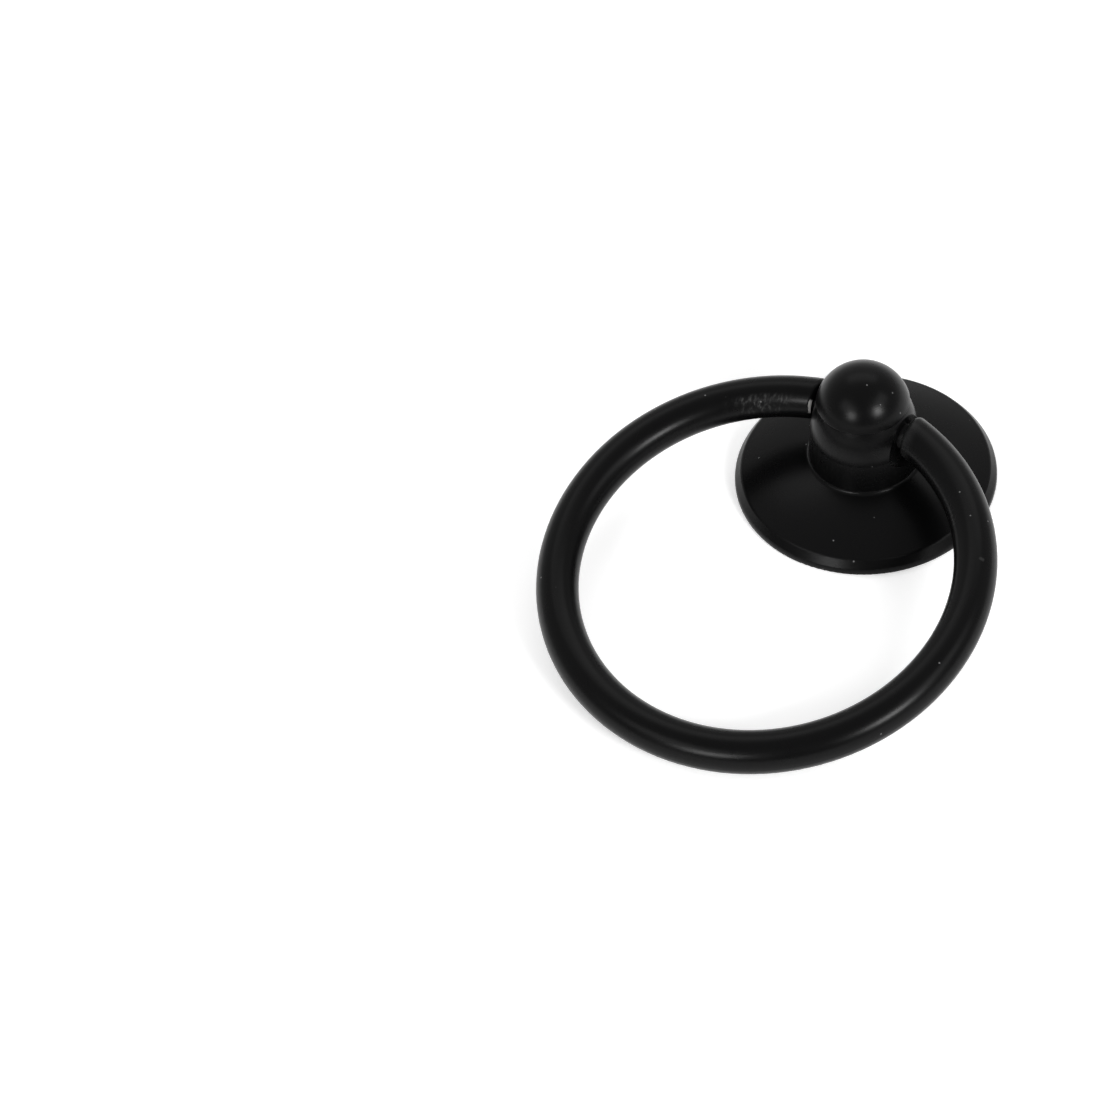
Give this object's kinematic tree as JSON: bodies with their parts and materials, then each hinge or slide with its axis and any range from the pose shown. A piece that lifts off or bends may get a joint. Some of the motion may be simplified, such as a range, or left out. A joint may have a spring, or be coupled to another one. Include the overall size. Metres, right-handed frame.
{
  "type": "ring pull handle",
  "caption": "Ring pull handle for a cabinet door or drawer: a round backplate with a domed post, and a drop ring that swings on it.",
  "frame": {"origin": "centre of the backplate's back face, on the axis of the screw hole", "axes": "+Z out of the mounting surface along the post, +X along the ring's hinge, the ring hanging toward -Y with its far end down on the mounting surface"},
  "size_m": [0.0548, 0.0664, 0.0182],
  "materials": {
    "black_coat": "semi-gloss black coat on a zinc casting",
    "black_coat_ring": "semi-gloss black coat on a zinc casting, a little worn at the two ends"
  },
  "bodies": {
    "base": {"backplate_post": "black_coat"},
    "ring": {"pull_ring": "black_coat_ring"}
  },
  "joints": [
    {"name": "ring_swing", "type": "hinge", "parent": "base", "child": "ring", "pos_m": [0, 0, 0.01025], "axis": [-1, 0, 0], "range_deg": [0, 198.2]}
  ]
}
